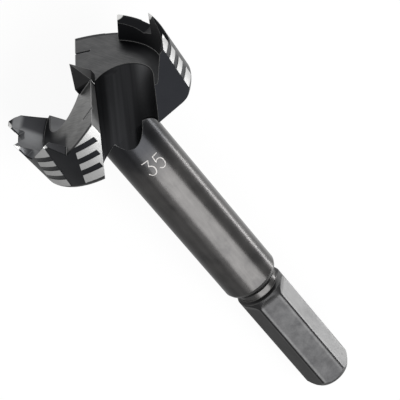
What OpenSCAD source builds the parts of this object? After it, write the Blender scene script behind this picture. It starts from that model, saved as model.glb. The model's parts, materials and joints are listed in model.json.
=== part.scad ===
// Forstner bit for wood, 35 mm, with a toothed rim and a hex drive end.
// One piece of tool steel. The bit is drawn upright, on its own axis, with the
// hex end at zero and the centre point up, and the last module lays it down.

/* [Overall] */
// Cutting diameter over the rim teeth
bit_diameter = 35; // [34:0.5:38]
// Length from the hex end to the tip of the centre point
overall_length = 90; // [85:1:120]

/* [Shank] */
// Diameter of the round part of the shank
shank_diameter = 11.7; // [11:0.1:13]
// Turned diameter of the drive end, over its blunted corners
drive_diameter = 10.2; // [9.9:0.1:10.3]
// Hex of the drive end, across its flats
hex_flats = 9; // [8.9:0.05:9.2]
// Length of the drive end
drive_length = 27.5; // [24:0.5:32]
// Diameter of the turned neck between drive end and shank
neck_diameter = 8.8; // [8:0.1:9.2]
// Width of the turned neck
neck_width = 1.4; // [1:0.1:3]
// Radius that the flats run out with at the neck
flat_runout = 3; // [2:0.5:5]

/* [Head] */
// Height of the head from its back to the lips
head_height = 11.8; // [11:0.1:13]
// Taper of the outer wall towards the back, in degrees
wall_taper = 3.6; // [2:0.1:5]
// Radius of the back corner
back_radius = 2.2; // [1.5:0.1:3]
// Height of the centre point above the lips
point_height = 4.15; // [3.5:0.05:5]
// Width of the centre point at the lips
point_width = 3.6; // [3:0.1:4.2]

/* [Lips and throats] */
// How far each lip runs ahead of the centre line
lip_lead = 1.7; // [1.4:0.1:2]
// Relief of the flank behind the lip, in degrees
flank_angle = 22; // [20:0.5:24]
// Length of the flank from the lip to the first tooth
flank_length = 7.8; // [7:0.1:8.5]
// Rake of the throat under the lip, in degrees
rake_angle = 29; // [26:1:31]
// Lean of the throat away from the axis, in degrees
floor_angle = 37; // [35:0.5:39]
// Radius of the round throat
throat_radius = 5.8; // [5.5:0.1:6]
// Distance of each wing's trailing face from the axis
trail_offset = 9.75; // [9.5:0.05:10.5]

/* [Rim teeth] */
// Height of the teeth above the lips
tooth_lead = 0.4; // [0.3:0.1:1]
// Depth of the gaps between the teeth
tooth_depth = 3.4; // [3:0.1:3.8]
// Angle from tooth to tooth
tooth_pitch = 32.7; // [31:0.1:34]
// Slope of the back of a tooth, in degrees
tooth_back = 26; // [24:1:32]
// Depth of the relief and grooves beside the ground lands
land_depth = 0.12; // [0.08:0.02:0.3]

/* [Hidden] */
$fn = 96;

head_r = bit_diameter / 2;
shank_r = shank_diameter / 2;
drive_r = drive_diameter / 2;
neck_r = neck_diameter / 2;
lip_z = overall_length - point_height;
tooth_z = lip_z + tooth_lead;
back_z = lip_z - head_height;
far = 60;

// Chamfer of the hex end: how far in and how long.
end_slope = 1;
end_length = 1.6;

// Where a throat's round starts beside the axis, and how far it reaches
// behind the lip there.
throat_start = 3.1;
throat_reach = 0.2;

// How little the hollow inside the rim stays above the flank.
dish_step = 0.015;

// Angles round the axis for one wing: its teeth from the leading one back,
// and the direction that its trailing face looks in.
tooth_1 = 241.2;
tooth_2 = tooth_1 - tooth_pitch;
tooth_3 = tooth_2 - tooth_pitch;
trail_dir = 108.5;

// The relieved strips of one wing's wall, by angle: where each starts and ends
// at the teeth, and where at the back.
strip_1 = [tooth_1, 263, 231.5, 242.5];
strip_2 = [tooth_3 + 2, tooth_2 + 22, 178, 208];

// The grooves across the lands: the first below the lips, the next ones, their
// width and depth, and the angles that they run between.
groove_top = 2.75;
groove_pitch = 2.53;
groove_w = 1.1;
groove_depth = 0.7 * land_depth;
groove_from = 140;
groove_to = 271.5;
groove_step = 4.1;

// Turn of the hex against the lips.
hex_turn = 44.8;

// How the bit lies: the angle round its axis that faces down, the rise of its
// axis, and the place of the hex end for an origin under the middle.
rest_roll = 127.91;
rest_tilt = 6.667;
rest_reach = (overall_length * cos(rest_tilt) - (drive_r - end_slope) * sin(rest_tilt)) / 2;
hex_corner = hex_turn + 60 + acos(hex_flats / drive_diameter);
rest_height = drive_r * cos(hex_corner - rest_roll) * cos(rest_tilt)
    - end_length * sin(rest_tilt);

// Radius of the outer wall at a height.
function wall_r(z) = head_r - (tooth_z - z) * tan(wall_taper);

// The turned shank, with a chamfered drive end and a neck.
module shank_blank() {
    chamfer = 1.3;
    top = drive_length + neck_width;
    rotate_extrude()
        polygon([
            [0, 0],
            [drive_r - end_slope, 0],
            [drive_r, end_length],
            [drive_r, drive_length - 0.4],
            [neck_r, drive_length],
            [neck_r, top],
            [shank_r - chamfer, top],
            [shank_r - 0.3, top + chamfer - 0.1],
            [shank_r, top + chamfer + 0.6],
            [shank_r, back_z + 1],
            [0, back_z + 1]
        ]);
}

// One milled flat of the hex, with its round run-out at the neck.
module flat_cut() {
    end = drive_length - 2.6;
    width = 16;
    translate([hex_flats / 2, -width / 2, -1])
        cube([4, width, end + 1]);
    translate([hex_flats / 2 + flat_runout, 0, end])
        rotate([90, 0, 0])
            cylinder(r = flat_runout, h = width, center = true);
}

// The turned head before milling: a tapered wall with a round back corner.
module head_blank() {
    r_back = wall_r(back_z + back_radius);
    rotate_extrude() {
        polygon([
            [0, back_z],
            [r_back - back_radius, back_z],
            [r_back, back_z + back_radius],
            [head_r, tooth_z],
            [0, tooth_z]
        ]);
        translate([r_back - back_radius, back_z + back_radius])
            circle(r = back_radius);
    }
}

// The frame of a throat: it leans away from the axis and back under the lip,
// from the inner end of the lip down.
module throat_frame() {
    translate([lip_lead, -throat_start, lip_z])
        rotate([-floor_angle, rake_angle, 0])
            children();
}

// The round bottom of a throat and all that stands in front of it.
module throat_channel() {
    throat_frame()
        linear_extrude(height = 2 * far, center = true) {
            translate([throat_radius - throat_reach, 0])
                circle(r = throat_radius);
            translate([0, -far])
                square([2 * throat_radius - throat_reach, far]);
        }
}

// One throat: the channel and the open corner behind the next wing, kept
// ahead of the lip's ground face and of the raked face below it.
module throat() {
    face_back = 0.65;
    face_turn = 3.2;
    intersection() {
        union() {
            throat_channel();
            rotate(trail_dir + 180)
                translate([trail_offset, -far, back_z - 10])
                    cube([far, 2 * far, far]);
        }
        union() {
            throat_frame()
                rotate(face_turn)
                    translate([face_back, -far, -far])
                        cube([far, 2 * far, 2 * far]);
            translate([lip_lead, -far, back_z - 10])
                cube([far, 2 * far, far]);
        }
    }
}

// The ground flank from the lip to the face of the leading tooth.
module flank_cut() {
    tooth_lean = 33;
    top = tooth_lead + 1;
    drop = flank_length * tan(flank_angle);
    translate([lip_lead, 0, lip_z])
        rotate([90, 0, 0])
            linear_extrude(height = far)
                polygon([
                    [0, 0],
                    [-flank_length, -drop],
                    [-flank_length - (drop + top) * tan(tooth_lean), top],
                    [1, top]
                ]);
}

// The hollow inside the rim: a shallow cone that stands on the flank.
module dish_cut() {
    rim_foot = 2.9;
    rim_top = 0.4;
    height = 12;
    intersection() {
        translate([0, 0, lip_z - lip_lead * tan(flank_angle) + dish_step])
            rotate([0, -flank_angle, 0])
                cylinder(r1 = head_r - rim_foot, r2 = head_r - rim_top, h = height);
        union() {
            translate([-far, -far, back_z])
                cube([far + lip_lead + 1, far, far]);
            translate([-far, -0.01, back_z])
                cube([far - lip_lead, far, far]);
        }
    }
}

// One gap in front of a tooth, with the back of the tooth ahead of it.
module tooth_gap(at) {
    rim_width = 5;
    pitch = head_r * sin(tooth_pitch);
    run = tooth_depth / tan(tooth_back);
    rotate(at)
        rotate([90, 0, 90])
            translate([0, tooth_z, head_r - rim_width])
                linear_extrude(height = far)
                    polygon([
                        [0, 2],
                        [0, -tooth_depth],
                        [pitch - run, -tooth_depth],
                        [pitch, 0],
                        [pitch, 2]
                    ]);
}

// One relieved strip beside a column of lands, with leaning sides.
module wall_relief(strip) {
    mid = (strip[0] + strip[1]) / 2;
    function across(a) = head_r * sin(a - mid);
    rotate(mid)
        rotate([90, 0, 90])
            linear_extrude(height = far)
                polygon([
                    [across(strip[0]), tooth_z + 1],
                    [across(strip[2]), back_z],
                    [across(strip[3]), back_z],
                    [across(strip[1]), tooth_z + 1]
                ]);
}

// The outer wall's skin, which is taken off where the wall is relieved.
module wall_skin() {
    rotate_extrude()
        polygon([
            [wall_r(back_z) - land_depth, back_z],
            [head_r + 3, back_z],
            [head_r + 3, tooth_z + 1],
            [wall_r(tooth_z + 1) - land_depth, tooth_z + 1]
        ]);
}

// One groove across the lands, round the wing at a height below the lips.
module wall_groove(below, from, to) {
    z = lip_z - below;
    rotate(from)
        rotate_extrude(angle = to - from)
            polygon([
                [wall_r(z - groove_w / 2) - groove_depth, z - groove_w / 2],
                [head_r + 3, z - groove_w / 2],
                [head_r + 3, z + groove_w / 2],
                [wall_r(z + groove_w / 2) - groove_depth, z + groove_w / 2]
            ]);
}

// The small groove across a lip that breaks the chip.
module chip_breaker() {
    out = 11.5;
    length = 3;
    depth = 0.45;
    half_w = 1.1;
    translate([lip_lead, -out, lip_z])
        rotate([0, -90 - flank_angle, 0])
            linear_extrude(height = length)
                polygon([[-depth, 0], [1, -half_w], [1, half_w]]);
}

// All that is milled and ground for one wing and the throat ahead of it.
module wing_cuts() {
    throat();
    flank_cut();
    dish_cut();
    tooth_gap(tooth_2);
    tooth_gap(tooth_3);
    tooth_gap(tooth_3 - tooth_pitch);
    intersection() {
        wall_skin();
        union() {
            wall_relief(strip_1);
            wall_relief(strip_2);
        }
    }
    for (i = [0:2])
        wall_groove(groove_top + groove_pitch * i, groove_from, groove_to - groove_step * i);
    chip_breaker();
}

// The four-sided centre point, on a short square root.
module centre_point() {
    w = point_width / 2;
    root = 1.2;
    rotate(90)
        intersection_for (a = [0, 90])
            rotate([90, 0, a])
                translate([0, lip_z, 0])
                    linear_extrude(height = 8, center = true)
                        polygon([
                            [-w, -root],
                            [w, -root],
                            [w, 0],
                            [0, point_height],
                            [-w, 0]
                        ]);
}

// The bevel that leaves the tooth tips sharp at the outer wall.
module tip_bevel() {
    bevel_in = 1.4;
    bevel_out = 0.2;
    gap = 0.02;
    rotate_extrude()
        polygon([
            [0, lip_z + gap],
            [head_r - bevel_in, lip_z + gap],
            [head_r - bevel_out, tooth_z + gap / 2],
            [0, tooth_z + 1]
        ]);
}

// The whole bit, upright on its own axis.
module bit() {
    difference() {
        union() {
            shank_blank();
            head_blank();
        }
        for (i = [0:5])
            rotate(hex_turn + 60 * i)
                flat_cut();
        for (a = [0, 180])
            rotate(a)
                wing_cuts();
        tip_bevel();
    }
    centre_point();
}

// The bit as it comes to rest: on the hex end and on two corners of the rim.
module forstner_bit() {
    color("dimgray")
        translate([-rest_reach, 0, rest_height])
            rotate([0, 90 - rest_tilt, 0])
                rotate(-rest_roll)
                    bit();
}

forstner_bit();
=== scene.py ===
import json
import math
import bmesh
import bpy
from mathutils import Matrix, Vector


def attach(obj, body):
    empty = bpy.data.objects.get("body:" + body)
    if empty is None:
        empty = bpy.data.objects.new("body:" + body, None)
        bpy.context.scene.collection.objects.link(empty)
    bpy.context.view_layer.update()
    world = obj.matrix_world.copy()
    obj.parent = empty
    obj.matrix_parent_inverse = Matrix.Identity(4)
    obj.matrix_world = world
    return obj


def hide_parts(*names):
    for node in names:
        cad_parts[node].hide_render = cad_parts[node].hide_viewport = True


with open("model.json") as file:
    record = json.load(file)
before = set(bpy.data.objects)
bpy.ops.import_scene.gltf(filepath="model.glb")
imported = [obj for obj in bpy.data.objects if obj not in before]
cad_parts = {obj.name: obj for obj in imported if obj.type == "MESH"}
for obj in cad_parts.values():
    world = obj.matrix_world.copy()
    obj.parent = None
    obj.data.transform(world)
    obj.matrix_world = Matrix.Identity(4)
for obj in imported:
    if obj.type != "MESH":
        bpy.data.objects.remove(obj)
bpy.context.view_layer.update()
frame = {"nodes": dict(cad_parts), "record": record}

# The bit as it lies
# One piece of tool steel at rest on its hex end and on two corners of the rim. The record gives the
# hex end's centre and the axis, and the roll is the angle round the axis that faces down.
mm = 0.001
drive = next(m for m in frame["record"]["mounts"] if m["name"] == "hex_drive")
hex_end = Vector(drive["pos_m"])
axis = -Vector(drive["axis"]).normalized()
rest_tilt = math.asin(axis.z)
rest_roll = math.radians(127.91)
lay = (
    Matrix.Translation(hex_end)
    @ Matrix.Rotation(math.pi / 2 - rest_tilt, 4, "Y")
    @ Matrix.Rotation(-rest_roll, 4, "Z")
)

# Camera
# A long lens looks down on the bit. The axis slants down to the right of the picture, and the hex end
# is the far end. All angles are those of the bit's axis as the camera sees it.
picture = 400
focal_px = 1695.87
sensor = 36
slant = math.radians(49.749)
lean_away = math.radians(29.587)
axis_roll = math.radians(18)
lip_z = 85.85
lip_ahead = 35.035
middle_px = 282
beside_px = 12.373
distance = 325.747 * mm

across = Vector((math.sin(slant), -math.cos(slant), 0))
along = Vector((math.cos(slant), math.sin(slant), 0))
to_point = -(along * math.cos(lean_away) + Vector((0, 0, math.sin(lean_away))))
behind = to_point.cross(across)
seen = along * middle_px + across * beside_px - Vector((picture / 2, picture / 2, 0))
middle = Vector((seen.x / focal_px, seen.y / focal_px, 1)) * distance
start = middle + to_point * (lip_ahead - lip_z) * mm
own_to_camera = (
    Matrix.Diagonal((1, -1, -1, 1))
    @ Matrix.Translation(start)
    @ Matrix((across, behind, to_point)).transposed().to_4x4()
    @ Matrix.Rotation(-axis_roll, 4, "Z")
)
camera = bpy.data.objects.new("camera", bpy.data.cameras.new("camera"))
camera.data.sensor_width = sensor
camera.data.lens = focal_px / picture * sensor
camera.data.clip_start = 0.01
camera.matrix_world = lay @ own_to_camera.inverted()
bpy.context.collection.objects.link(camera)
bpy.context.scene.camera = camera


# The bit
# The whole tool is forged, turned and milled from one piece of steel, blackened all over, and then ground
# on its lands, lips, flanks and tooth tips. The finish is laid out in the bit's own frame in millimetres:
# z along the axis from the hex end, the lips square to x.
class Field:
    """A socket in a material, with arithmetic."""

    tree = None

    def __init__(self, socket):
        self.socket = socket

    @classmethod
    def node(cls, kind, settings=None, sockets=None, out=0):
        """The output of a new node with these settings and socket values."""
        made = cls.tree.nodes.new(kind)
        for name, value in (settings or {}).items():
            setattr(made, name, value)
        for name, value in (sockets or {}).items():
            if isinstance(value, Field):
                cls.tree.links.new(value.socket, made.inputs[name])
            else:
                made.inputs[name].default_value = value
        return cls(made.outputs[out])

    def math(self, operation, other=0.0, third=0.0):
        return Field.node("ShaderNodeMath", {"operation": operation}, {0: self, 1: other, 2: third})

    def __add__(self, other):
        return self.math("ADD", other)

    def __radd__(self, other):
        return self.math("ADD", other)

    def __mul__(self, other):
        return self.math("MULTIPLY", other)

    def __rmul__(self, other):
        return self.math("MULTIPLY", other)

    def __sub__(self, other):
        return self.math("SUBTRACT", other)

    def __rsub__(self, other):
        return Field.node("ShaderNodeMath", {"operation": "SUBTRACT"}, {0: other, 1: self})

    def __abs__(self):
        return self.math("ABSOLUTE")

    def step(self, low, high):
        """0 below low, 1 above high and smooth between, or the other way round."""
        ends = (0, 1) if low < high else (1, 0)
        return Field.node(
            "ShaderNodeMapRange",
            {"interpolation_type": "SMOOTHSTEP"},
            {
                "Value": self,
                "From Min": min(low, high),
                "From Max": max(low, high),
                "To Min": ends[0],
                "To Max": ends[1],
            },
        )

    def past(self, edge, soft):
        """0 short of an edge and 1 past it, smooth over a soft width on both sides."""
        return self.step(edge - soft, edge + soft)

    def short_of(self, edge, soft):
        return self.step(edge + soft, edge - soft)

    def near(self, reach):
        """1 where this is close to 0, and 0 beyond the reach."""
        return abs(self).step(reach, reach * 0.4)

    def either(self, other):
        return self.math("MAXIMUM", other)

    def mix(self, first, second):
        """The first colour where this is 0 and the second where it is 1."""
        return Field.node("ShaderNodeMix", {"data_type": "RGBA"}, {0: self, 6: first, 7: second}, out=2)

    def between(self, low, high):
        return low + self * (high - low)


def noise(where, scale, detail=3.0, rough=0.55):
    """Soft grey noise between 0 and 1."""
    sockets = {"Vector": where, "Scale": scale, "Detail": detail, "Roughness": rough}
    return Field.node("ShaderNodeTexNoise", {}, sockets)


def stretched(first, second, third):
    return Field.node("ShaderNodeCombineXYZ", {}, {0: first, 1: second, 2: third})


def towards(angle, east, north):
    """How far a point lies towards an angle round the axis."""
    way = math.radians(angle)
    return east * math.cos(way) + north * math.sin(way)


steel = bpy.data.materials.new("blackened_steel")
steel.use_nodes = True
Field.tree = steel.node_tree

# The bit's own frame. The two wings are alike, half a turn apart, so each finish is laid out for the wing
# with the lip at negative y and turned for the other one. The throats have their own dividing line.
wing_angle = 215
gap_angle = 300
to_own = lay.inverted()
own = Field.node(
    "ShaderNodeMapping",
    {},
    {
        "Vector": Field.node("ShaderNodeTexCoord", out=3),
        "Location": to_own.translation / mm,
        "Rotation": to_own.to_euler(),
        "Scale": Vector((1, 1, 1)) / mm,
    },
)
split = Field.node("ShaderNodeSeparateXYZ", {}, {0: own}).socket.node
x, y, z = (Field(output) for output in split.outputs)
radius = (x * x + y * y).math("SQRT")
turn = y.math("ARCTAN2", x)
wing = towards(wing_angle, x, y).math("SIGN")
gap = towards(gap_angle, x, y).math("SIGN")
ahead = x * wing
gap_x = x * gap
gap_y = y * gap

# Sizes of the bit that the finishes follow, with the lips' height from the camera's section.
hex_top = 27.5
half_flats = 4.5
drive_r = 5.1
shank_r = 5.85
back_z = 74.05
back_corner = 2.2
head_r = 17.5
wall_slope = math.tan(math.radians(3.6))
rim_r = 13.0
flank_r = 16.5
flank_slope = math.tan(math.radians(22))
lip_lead = 1.7
tooth_z = 86.25
point_r = 3.45

# The head: its lands, the flat face behind each wing, the flank behind each lip, the inside of the rim, the
# bright strip under each lip, dimmer near the point, and the centre point. A place is inside by its depth
# under the tapered wall, and lifted by its height over the flank.
land_skin = 0.06
trail_angle = 288.5
trail_offset = 9.75
trail_start = 2.0
strip_depth = 3.4
in_head = z.past(back_z - 0.45, 0.2)
inside = head_r - (tooth_z - z) * wall_slope - radius
lift = z - lip_z - (ahead - lip_lead) * flank_slope
on_land = inside.short_of(land_skin, 0.02) * in_head
on_trail = (towards(trail_angle, gap_x, gap_y) - trail_offset).near(0.2)
on_trail = on_trail * in_head * gap_x.past(trail_start, 0.2)
on_flank = lift.near(0.16) * in_head * radius.short_of(flank_r, 0.1) * (1 - on_trail)
in_rim = lift.past(0.3, 0.1) * radius.past(rim_r, 0.5) * inside.step(0.25, 0.5)
in_rim = in_rim * in_head * (1 - on_trail)
on_strip = (ahead - lip_lead).near(0.12) * z.past(lip_z - strip_depth, 0.2)
on_strip = on_strip * abs(y).step(0.8, 7.0).between(0.45, 1.0)
on_point = z.past(lip_z - 0.45, 0.15) * radius.short_of(point_r, 0.15)

# The hex drive end with its turned corners, two opposite flats lighter than the others, and the neck and
# shank. All is turned as far as turned_z, and past it the throats cut into the shank.
paler_flat_angle = 344.8
turned_z = 35
on_hex = z.short_of(hex_top, 0.2)
on_corner = radius.past(drive_r - 0.04, 0.02) * on_hex
beside_corner = radius.past(drive_r - 0.21, 0.09) * on_hex
paler_flats = abs(towards(paler_flat_angle, x, y)).past(half_flats - 0.12, 0.08) * on_hex
on_shank = z.short_of(turned_z, 1).either((radius - shank_r).near(0.08))
on_shank = on_shank * z.past(hex_top - 0.2, 0.1) * z.short_of(back_z + 0.1, 0.15)

# The throats, whose cutter ran slantwise into the shank: u and v lie across its run, and one edge is light.
# The head's back and the back's round corner are not in them.
throat_end = 60.5
throat_light = -31.4
throat_run = Vector((0.3875, 0.602, 0.699))
throat_side = Vector((0, 1, 0)).cross(throat_run).normalized()
throat_up = throat_run.cross(throat_side).normalized()
throat_u = gap_x * throat_side.x + z * throat_side.z
throat_v = gap_x * throat_up.x + gap_y * throat_up.y + z * throat_up.z
throat_edge = throat_u.past(throat_light, 1.1)
above_back = z - back_z
off_back = above_back.past(0.2, 0.1) * (inside + above_back).past(back_corner + 0.2, 0.2)
in_throat = z.past(throat_end, 0.5) * lift.short_of(-0.2, 0.1) * inside.step(0.2, 0.5)
in_throat = in_throat * off_back.either(radius.short_of(shank_r + 0.2, 0.15))
in_throat = in_throat * (1 - on_shank) * (1 - on_trail)

# The tips of the teeth, which stand at three angles on each wing. On the wing with the lip at negative y,
# which is painted lighter as lit, the tooth next to its lip is blunt.
bare_tip = 1.35
fold_from = 150.0
fold_to = fold_from + 180
# 1 on the wing with the lip at negative y, which is painted lighter as if lit; the other wing is painted
# darker as in shade.
lit_wing = wing.step(-1.0, 1.0)
degrees = turn * math.degrees(1)
folded = Field.node("ShaderNodeMath", {"operation": "WRAP"}, {0: degrees, 1: fold_to, 2: fold_from})
inward = radius - head_r
below = z - tooth_z
on_tip = 0.0
for angle, blunt in ((241.2, 0.75), (208.5, 0.0), (175.8, 0.0)):
    aside = (folded - angle) * math.radians(head_r)
    off_tip = (aside * aside + inward * inward + below * below).math("SQRT")
    on_tip = (off_tip + lit_wing * blunt).short_of(bare_tip, 0.15).either(on_tip)

# Edges, where the blackening has rubbed off: there the rounded normal leaves the face's own.
edge_r = 0.16 * mm
rounded = Field.node("ShaderNodeBevel", {"samples": 8}, {"Radius": edge_r})
facing = Field.node("ShaderNodeNewGeometry", out=1)
agree = Field.node("ShaderNodeVectorMath", {"operation": "DOT_PRODUCT"}, {0: rounded, 1: facing}, out=1)
on_edge = agree.step(0.985, 0.90)

# Marks of the tools: a mottled blackening, turning rings and drawn lines on the shank, grinding lines on
# the flanks, and the cutter's lines in the throats.
mottle = noise(own, 0.35, 4.0)
grain = noise(own, 3.0, 4.0)
stain = noise(own, 0.16, 4.0, 0.6).step(0.48, 0.72) * 0.34
rings = noise(stretched(turn * 0.6, z * 6.0, radius * 0.4), 1.0)
draw = noise(stretched(turn * 9.0, z * 0.25, radius), 1.0)
grind = noise(stretched(x * 3.0 + y * 2.6, x * 0.12 - y * 0.12, z * 0.3), 1.6, 4.0, 0.6)
flute = noise(stretched(throat_u, throat_v, z * 0.04), 0.9)

# The finishes, each from its darkest to its lightest tone.
black = (0.012, 0.0125, 0.014, 1)
oxide = mottle.mix(black, (0.028, 0.029, 0.032, 1))
turned = (mottle * 0.5 + draw * 0.5).mix((0.042, 0.041, 0.0405, 1), (0.102, 0.099, 0.0975, 1))
satin = (mottle * 0.8 + grain * 0.2).step(0.25, 0.75)
satin = satin.mix((0.030, 0.030, 0.031, 1), (0.066, 0.066, 0.067, 1))
paler_flat_tone = (mottle * 0.5 + draw * 0.5).mix((0.11, 0.11, 0.11, 1), (0.21, 0.21, 0.21, 1))
cornered = mottle.mix((0.018, 0.018, 0.0185, 1), (0.042, 0.042, 0.043, 1))
milled = flute.step(0.2, 0.8).mix((0.022, 0.0225, 0.024, 1), (0.046, 0.047, 0.050, 1))
milled = throat_edge.mix(milled, (0.15, 0.152, 0.158, 1))
trailing = mottle.mix((0.007, 0.0073, 0.0085, 1), (0.011, 0.0115, 0.013, 1))
pointed = mottle.mix((0.03, 0.03, 0.031, 1), (0.06, 0.06, 0.061, 1))
ground = (grind * 0.6 + grain * 0.4).mix((0.36, 0.36, 0.36, 1), (0.52, 0.52, 0.515, 1))
bare = (0.34, 0.34, 0.335, 1)
bright = (0.80, 0.80, 0.79, 1)

# The flank is ground. Painted shade darkens it towards the foot of the rim, and one wing is painted lighter
# as lit.
rim_foot_shade = radius.step(9.6, 11.8) * ahead.step(-5.4, -6.8)
scraped = (grind * 0.6 + mottle * 0.4).step(0.3, 0.7)
flank_grind_and_light = lit_wing.mix(
    scraped.mix((0.046, 0.047, 0.049, 1), (0.106, 0.106, 0.107, 1)),
    scraped.mix((0.19, 0.19, 0.188, 1), (0.38, 0.38, 0.376, 1)),
)
flank_grind_and_light = rim_foot_shade.mix(flank_grind_and_light, lit_wing.mix(black, (0.036, 0.037, 0.041, 1)))
# The inside of the rim: painted highlights in lighter bands on the lit wing, and painted shade, all black,
# on the other wing.
rim_highlight = (folded.step(170, 177) * radius.step(13.2, 13.9)).either(radius.step(15.8, 16.4))
rim_highlight = rim_highlight * folded.step(232, 224) * mottle.between(0.6, 1.2)
rim = lit_wing.mix(black, rim_highlight.mix((0.075, 0.076, 0.083, 1), (0.32, 0.325, 0.335, 1)))

# The shank has painted shade towards the head, and the corners of the hex have a light line beside them.
head_shade = z.step(70.5, 62).between(0.08, 1.0)
corner_light = beside_corner * grain.between(0.01, 0.06)
scuffed = on_edge * grain.between(0.2, 0.9) * inside.step(0.15, 0.3)
bared = (on_land * (1 - on_edge * 0.8)).either(on_strip)
colour = (on_shank * head_shade).mix(oxide, turned)
colour = on_hex.mix(colour, satin)
colour = paler_flats.mix(colour, paler_flat_tone)
colour = corner_light.mix(colour, bright)
colour = on_corner.mix(colour, cornered)
colour = (stain * (on_shank + on_hex)).mix(colour, oxide)
colour = in_throat.mix(colour, milled)
colour = on_trail.mix(colour, trailing)
colour = on_point.mix(colour, pointed)
colour = on_flank.mix(colour, flank_grind_and_light)
colour = in_rim.mix(colour, rim)
colour = scuffed.mix(colour, bare)
colour = bared.mix(colour, ground)
colour = on_tip.mix(colour, bright)

roughness = mottle.between(0.20, 0.30) + on_hex * 0.14 + in_head * 0.16
bump_depth = 0.05 * mm
bump = Field.node(
    "ShaderNodeBump",
    {},
    {
        "Strength": 0.10,
        "Distance": bump_depth,
        "Height": grain * (0.6 - on_shank * 0.45) + rings * on_shank * 0.5 + grind * on_flank,
        "Normal": rounded,
    },
)
shader = steel.node_tree.nodes["Principled BSDF"]
shader.inputs["Metallic"].default_value = 1.0
Field.tree.links.new(colour.socket, shader.inputs["Base Color"])
Field.tree.links.new(roughness.socket, shader.inputs["Roughness"])
Field.tree.links.new(bump.socket, shader.inputs["Normal"])

# The mesh is the CAD node's own with the seams between its faces closed, so that round faces shade smoothly
# and edges stay sharp.
seam = 0.02 * mm
sliver = 0.004 * mm
sharp_edge = math.radians(14)
mesh = bmesh.new()
mesh.from_mesh(frame["nodes"]["forstner_bit"].data)
bmesh.ops.remove_doubles(mesh, verts=mesh.verts, dist=seam)
bmesh.ops.dissolve_degenerate(mesh, edges=mesh.edges, dist=sliver)
for face in mesh.faces:
    face.smooth = True
bit_mesh = bpy.data.meshes.new("bit")
mesh.to_mesh(bit_mesh)
mesh.free()
bit_mesh.attributes.remove(bit_mesh.attributes["custom_normal"])
bit_mesh.materials.append(steel)
bit = bpy.data.objects.new("bit", bit_mesh)
bpy.context.collection.objects.link(bit)
bit_mesh.set_sharp_from_angle(angle=sharp_edge)
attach(bit, "root")
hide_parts("forstner_bit")


# Size mark
# The cutting diameter in thin light strokes on the shank, burnt into the blackening by a laser. It reads
# with its tops towards the head. Each stroke runs over points round and along the shank.
def bow(middle_u, middle_z, half_u, half_z, first, last):
    """Points of a round stroke, by the angles that it runs between."""
    steps = [math.radians(first + (last - first) * i / 20) for i in range(21)]
    return [(middle_u + half_u * math.cos(t), middle_z + half_z * math.sin(t)) for t in steps]


def bar(first, last):
    """Points of a straight stroke, close enough to follow the round shank."""
    return [tuple(Vector(first).lerp(Vector(last), i / 10)) for i in range(10)]


mark_angle = math.radians(288)
mark_r = shank_r + 0.006
half_stroke = 0.1
three = bar((-1.96, 67.68), (-0.55, 67.68)) + bar((-0.55, 67.68), (-1.16, 66.50))
three += bow(-1.2, 65.45, 0.82, 1.05, 88, -165)
five = bar((1.66, 67.66), (0.54, 67.66)) + bar((0.54, 67.66), (0.46, 66.24))
five += bow(1.06, 65.53, 0.80, 1.11, 138, -150)
marks = bmesh.new()
for stroke in (three, five):
    rails = []
    for side in (1, -1):
        rail = []
        for i, (u, v) in enumerate(stroke):
            before = stroke[max(i - 1, 0)]
            after = stroke[min(i + 1, len(stroke) - 1)]
            run = Vector((after[0] - before[0], after[1] - before[1])).normalized() * half_stroke
            round_to = mark_angle + (u - side * run.y) / shank_r
            spot = Vector((mark_r * math.cos(round_to), mark_r * math.sin(round_to), v + side * run.x))
            rail.append(marks.verts.new(lay @ (spot * mm)))
        rails += [marks.edges.new(ends) for ends in zip(rail, rail[1:])]
    bmesh.ops.bridge_loops(marks, edges=rails)
bmesh.ops.recalc_face_normals(marks, faces=marks.faces)
mark_mesh = bpy.data.meshes.new("size_mark")
marks.to_mesh(mark_mesh)
marks.free()

burnt = bpy.data.materials.new("laser_mark")
burnt.use_nodes = True
Field.tree = burnt.node_tree
spots = noise(Field.node("ShaderNodeTexCoord", out=3), 2500.0, 2.0)
pale = spots.step(0.3, 0.7).mix((0.36, 0.35, 0.34, 1), (0.62, 0.60, 0.58, 1))
mark_shader = burnt.node_tree.nodes["Principled BSDF"]
mark_shader.inputs["Roughness"].default_value = 0.6
Field.tree.links.new(pale.socket, mark_shader.inputs["Base Color"])
mark_mesh.materials.append(burnt)
mark = bpy.data.objects.new("size_mark", mark_mesh)
bpy.context.collection.objects.link(mark)
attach(mark, "root")

# Floor
# A plain white floor. It looks white to the camera and in the steel, and it keeps a faint shadow. The
# steel sees its left side dimmed, a painted shade in the floor's reflections.
floor_half = 3
seen_white = 0.93
mirrored_white = 0.95
white = bpy.data.materials.new("white_floor")
white.use_nodes = True
Field.tree = white.node_tree
Field.tree.nodes.remove(Field.tree.nodes["Principled BSDF"])
ray = Field.node("ShaderNodeLightPath").socket.node
straight = Field(ray.outputs["Is Camera Ray"])
mirrored = Field(ray.outputs["Is Glossy Ray"]).either(Field(ray.outputs["Is Transmission Ray"]))
leftward = Field.node("ShaderNodeSeparateXYZ", {}, {0: Field.node("ShaderNodeTexCoord", out=3)}, out=1)
dim_side = leftward.step(-0.01, 0.01) * leftward.step(0.06, 0.0).between(0.25, 0.6)
paper = Field.node("ShaderNodeBsdfDiffuse", {}, {"Color": (0.86, 0.86, 0.86, 1)})
dimmed = (mirrored * dim_side).mix((1, 1, 1, 1), (0, 0, 0, 1))
glow = Field.node("ShaderNodeEmission", {}, {"Color": dimmed})
lit = straight * seen_white + mirrored * mirrored_white
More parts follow.
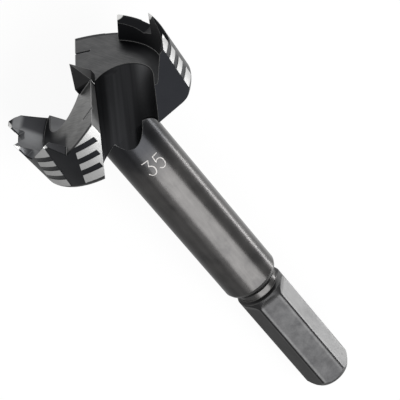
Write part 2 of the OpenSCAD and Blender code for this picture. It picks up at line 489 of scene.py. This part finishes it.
shade = Field.node("ShaderNodeMixShader", {}, {0: lit, 1: paper, 2: glow})
Field.tree.links.new(shade.socket, Field.tree.nodes["Material Output"].inputs["Surface"])
ground_mesh = bmesh.new()
bmesh.ops.create_grid(ground_mesh, x_segments=1, y_segments=1, size=floor_half)
floor_mesh = bpy.data.meshes.new("floor")
ground_mesh.to_mesh(floor_mesh)
ground_mesh.free()
floor_mesh.materials.append(white)
floor = bpy.data.objects.new("floor", floor_mesh)
bpy.context.collection.objects.link(floor)

# Light
# A soft box hangs over the shank, a dim glow fills its left side and a low strip stands on the right, in a
# grey room. Each is placed by its angle round the bit's axis and its lean towards the hex end, and its glow
# is its radiance.
room_glow = 0.6
lamp_reach = 1.5
shank_middle = 50 * mm
world = bpy.data.worlds.new("room")
bpy.context.scene.world = world
world.use_nodes = True
world.node_tree.nodes["Background"].inputs["Color"].default_value = (1, 1, 1, 1)
world.node_tree.nodes["Background"].inputs["Strength"].default_value = room_glow


def lamp(name, angle, lean, width, length, glow):
    """A lamp with its length along the bit, facing the middle of the shank."""
    round_to = math.radians(angle)
    leant = math.radians(lean)
    flat = math.cos(leant)
    out = Vector((math.cos(round_to) * flat, math.sin(round_to) * flat, -math.sin(leant)))
    out = lay.to_3x3() @ out
    along_bit = Vector((1, 0, 0))
    along_bit = (along_bit - out * along_bit.dot(out)).normalized()
    stand = Matrix((along_bit.cross(out), along_bit, out)).transposed().to_4x4()
    stand.translation = lay @ Vector((0, 0, shank_middle)) + out * lamp_reach
    made = bpy.data.objects.new(name, bpy.data.lights.new(name, "AREA"))
    made.data.shape = "RECTANGLE"
    made.data.size = width
    made.data.size_y = length
    made.data.energy = glow * math.pi * width * length
    made.matrix_world = stand
    bpy.context.collection.objects.link(made)


lamp("soft_box", angle=293, lean=30, width=1.7, length=1.1, glow=4.5)
lamp("side_glow", angle=247, lean=30, width=0.5, length=1.1, glow=0.6)
lamp("strip", angle=390, lean=31, width=0.17, length=1.4, glow=12.0)

bpy.context.scene.view_settings.view_transform = "Standard"
